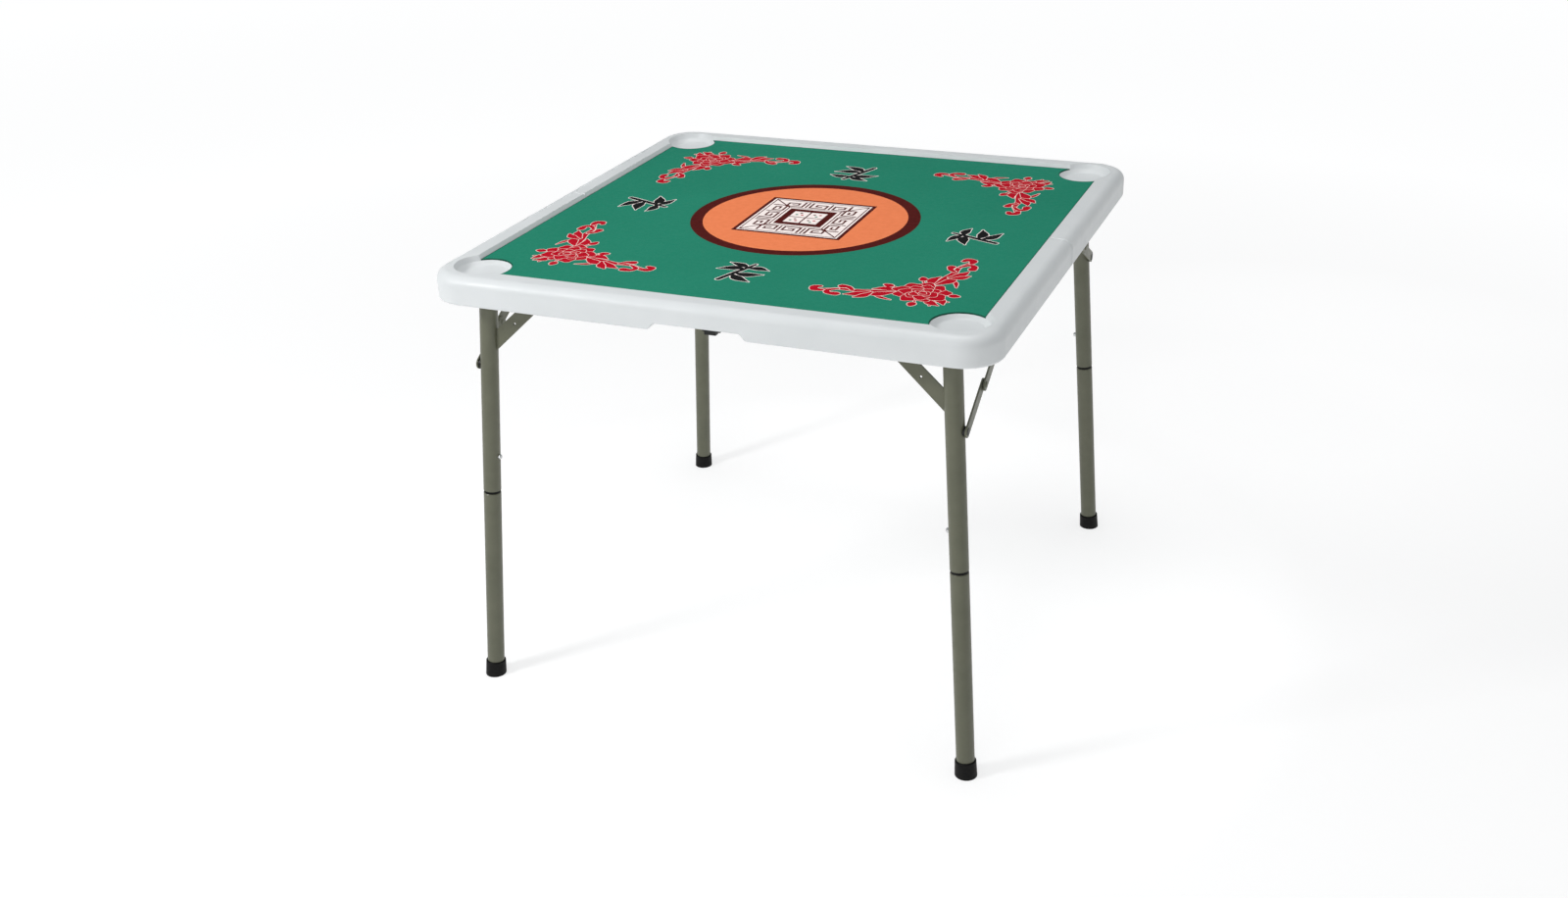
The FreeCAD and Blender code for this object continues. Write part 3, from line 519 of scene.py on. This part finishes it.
# seat marks: an ink sprig of bamboo at each side, facing its player
def sprig(cx, cy, angle, size):
    ca, sa = math.cos(angle), math.sin(angle)
    pr.place = lambda x, y: (cx + size * (x * ca - y * sa), cy + size * (x * sa + y * ca))
    strokes = [
        ([(-20, -38), (-9, -8), (1, 17), (9, 39)], [8.0, 8.4, 7.4, 5.6]),
        ([(-7, -5), (13, -8), (38, -1)], [3.6, 18.0, 1.6]), ([(-9, -11), (5, -25), (29, -36)], [3.6, 17.0, 1.6]),
        ([(1, 15), (-17, 16), (-41, 6)], [3.6, 18.0, 1.6]), ([(3, 22), (-11, 31), (-32, 38)], [3.6, 14.5, 1.6]),
        ([(3, 20), (20, 23), (39, 18)], [3.6, 15.5, 1.6]),
    ]
    for pts, widths in strokes:
        pr.curve(pts, widths, 1.4, 1, PALE)
        pr.curve(pts, widths, 0.0, 2, INK)
    pr.plain()


sprig(6, -272, 0.0, 0.98)
sprig(291, -12, math.pi / 2, 0.98)
sprig(-7, 266, math.pi, 1.02)
sprig(-284, -2, -math.pi / 2, 1.02)

def inside(p, poly):
    hit = False
    for (x0, y0), (x1, y1) in zip(poly, poly[1:] + poly[:1]):
        if (y0 > p[1]) != (y1 > p[1]) and p[0] < (x1 - x0) * (p[1] - y0) / (y1 - y0) + x0:
            hit = not hit
    return hit


# the mat: one closed sheet. Its upper face is cut along every outline of the print, so each colour lies in the same plane
# a dark band 0.6 mm wide round the top edge: partly the mat's darker cut edge, partly painted shade of the gap at
# the lip
EDGE_SHADE_IN = 0.0006
brim = [(x * 1000.0, y * 1000.0) for x, y in mat_outline(EDGE_SHADE_IN)]
brim_line = [(x * 1000.0, y * 1000.0) for x, y in mat_outline(EDGE_SHADE_IN + 0.0007)]
twice = sum(a[0] * b[1] - b[0] * a[1] for a, b in zip(brim, brim[1:] + brim[:1]))
if twice < 0:
    brim.reverse()
    brim_line.reverse()
shapes = [(-2, EDGE_SHADE, brim), (-1, GREEN, brim_line)] + pr.shapes
verts, faces = [], []
for level, mat, pts in shapes:
    faces.append(list(range(len(verts), len(verts) + len(pts))))
    verts += [Vector(p) for p in pts]
cut_verts, _, cut_faces, _, _, cut_from = delaunay_2d_cdt(verts, [], faces, 1, 1e-3, True)
bm = bmesh.new()
top = [bm.verts.new((v[0] / 1000.0, v[1] / 1000.0, MAT_TOP)) for v in cut_verts]
for f, src in zip(cut_faces, cut_from):
    if not src:
        continue
    mid = sum((cut_verts[i] for i in f), Vector((0.0, 0.0))) / len(f)
    for i in sorted(src, key=lambda i: (shapes[i][0], i), reverse=True):
        if inside(mid, shapes[i][2]):
            bm.faces.new([top[k] for k in f]).material_index = shapes[i][1]
            break
rows = []
# the mat's sides take the same dark colour: the darker cut edge plus painted shade of the gap at the lip
for inset, z in ((0.0, MAT_LOW), (0.0, MAT_TOP - 0.0005), (0.00018, MAT_TOP - 0.00014), (EDGE_SHADE_IN, MAT_TOP)):
    rows.append([bm.verts.new((x, y, z)) for x, y in mat_outline(inset)])
n = len(rows[0])
for a, b in zip(rows, rows[1:]):
    for i in range(n):
        f = bm.faces.new((a[i], a[(i + 1) % n], b[(i + 1) % n], b[i]))
        f.material_index = EDGE_SHADE
low_face = bm.faces.new(list(reversed(rows[0])))
bmesh.ops.triangulate(bm, faces=[low_face])
bmesh.ops.remove_doubles(bm, verts=bm.verts[:], dist=2e-6)
bmesh.ops.dissolve_limit(bm, angle_limit=0.002, use_dissolve_boundaries=False, verts=bm.verts[:], edges=bm.edges[:], delimit={"MATERIAL"})
bmesh.ops.triangulate(bm, faces=[f for f in bm.faces if len(f.verts) > 4])
bm.verts.index_update()
twins = {}
for f in bm.faces:
    twins.setdefault(tuple(sorted(v.index for v in f.verts)), []).append(f)
bmesh.ops.delete(bm, geom=[f for same in twins.values() if len(same) > 1 for f in same], context="FACES")
slice_fold(bm)
bmesh.ops.dissolve_degenerate(bm, dist=1e-6, edges=bm.edges[:])
bmesh.ops.recalc_face_normals(bm, faces=bm.faces[:])
loose = [v for v in bm.verts if not v.link_faces]
bmesh.ops.delete(bm, geom=loose, context="VERTS")
mat_piece = link_mesh("mat_sheet", bm, *MAT_MATS)

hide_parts("playing_mat")
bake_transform(mat_piece)

# ------------------------------------------------------------------ button springs
# each button spring gets its own steel copy, carried by its lower leg
for joint in frame["joints"]:
    if joint["name"].endswith("_button_press"):
        leg = joint["name"][:-len("_button_press")]
        source = frame["nodes"][leg + "_button_spring"]
        spring = bpy.data.objects.new(leg + "_spring_clip", source.data.copy())
        scene.collection.objects.link(spring)
        spring.data.materials.clear()
        spring.data.materials.append(M_STEEL)
        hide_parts(leg + "_button_spring")
        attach(spring, leg + "_lower")
        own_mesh(spring)

# ------------------------------------------------------------------ floor and light
floor = Mat("pale_floor", rough=0.9, spec=0.0)
floor.colour((0.50, 0.50, 0.50, 1.0))
far = floor.add("ShaderNodeVectorMath", operation="LENGTH")
floor.link(floor.co, far.inputs[0])
floor.b.inputs["Emission Color"].default_value = (1, 1, 1, 1)
# painted light: the floor's emission changes with distance from the middle and is stronger under the table, to
# cancel the table's shadow on the floor
painted_floor_glow = floor.ramp(floor.math("DIVIDE", far.outputs["Value"], 8.0), *[
    (r / 8.0, (g, g, g, 1.0)) for r, g in ((0.0, 0.715), (0.45, 0.70), (0.90, 0.585), (1.40, 0.61), (3.20, 0.765), (7.0, 0.825))])
# painted pool of light: extra emission in a spot round (0.70, 1.10) that lightens the tabletop's shadow behind the
# table
painted_spot_distance = floor.add("ShaderNodeVectorMath", operation="DISTANCE")
painted_spot_distance.inputs[1].default_value = (0.70, 1.10, 0.0)
floor.link(floor.co, painted_spot_distance.inputs[0])
painted_light_spot = floor.span(painted_spot_distance.outputs["Value"], 0.07, 0.0, 0.30, 1.00)
floor.link(floor.math("ADD", painted_floor_glow, painted_light_spot), floor.b.inputs["Emission Strength"])
bm = bmesh.new()
bmesh.ops.create_grid(bm, x_segments=2, y_segments=2, size=30.0)
ground = link_mesh("floor", bm, floor.m)

wall_look = Mat("pale_backdrop", rough=0.9, spec=0.0)
wall_look.colour((0.50, 0.50, 0.50, 1.0))
wall_look.b.inputs["Emission Color"].default_value = (1, 1, 1, 1)
wall_look.b.inputs["Emission Strength"].default_value = 0.90
bm = bmesh.new()
low, high = [[bm.verts.new((28.0 * math.cos(math.tau * i / 96), 28.0 * math.sin(math.tau * i / 96), z)) for i in range(96)] for z in (0.0, 24.0)]
for i in range(96):
    bm.faces.new((low[i], high[i], high[(i + 1) % 96], low[(i + 1) % 96]))
backdrop = link_mesh("backdrop", bm, wall_look.m)
backdrop.visible_diffuse = backdrop.visible_glossy = backdrop.visible_transmission = backdrop.visible_shadow = False

world = bpy.data.worlds.new("studio")
scene.world = world
world.use_nodes = True
world.node_tree.nodes["Background"].inputs[0].default_value = (0.96, 0.98, 1.0, 1.0)
world.node_tree.nodes["Background"].inputs[1].default_value = 0.345


def area(name, loc, target, size, power, colour=(1, 1, 1)):
    d = bpy.data.lights.new(name, "AREA")
    d.shape, d.size, d.energy, d.color = "DISK", size, power, colour
    o = bpy.data.objects.new(name, d)
    o.location = loc
    o.rotation_euler = (Vector(target) - Vector(loc)).to_track_quat("-Z", "Y").to_euler()
    scene.collection.objects.link(o)
    return o


area("key", (-1.55, -1.80, 2.00), (0, 0, 0.55), 0.5, 28.6)
area("top", (0.0, 0.0, 3.4), (0.0, 0.0, 0.7), 1.6, 39.0)
area("fill", (0.2, -3.3, 1.1), (0.0, 0.0, 0.6), 1.6, 11.8)

scene.view_settings.view_transform = "Standard"
scene.view_settings.look = "None"
scene.view_settings.exposure = 0.0
scene.view_settings.gamma = 1.0
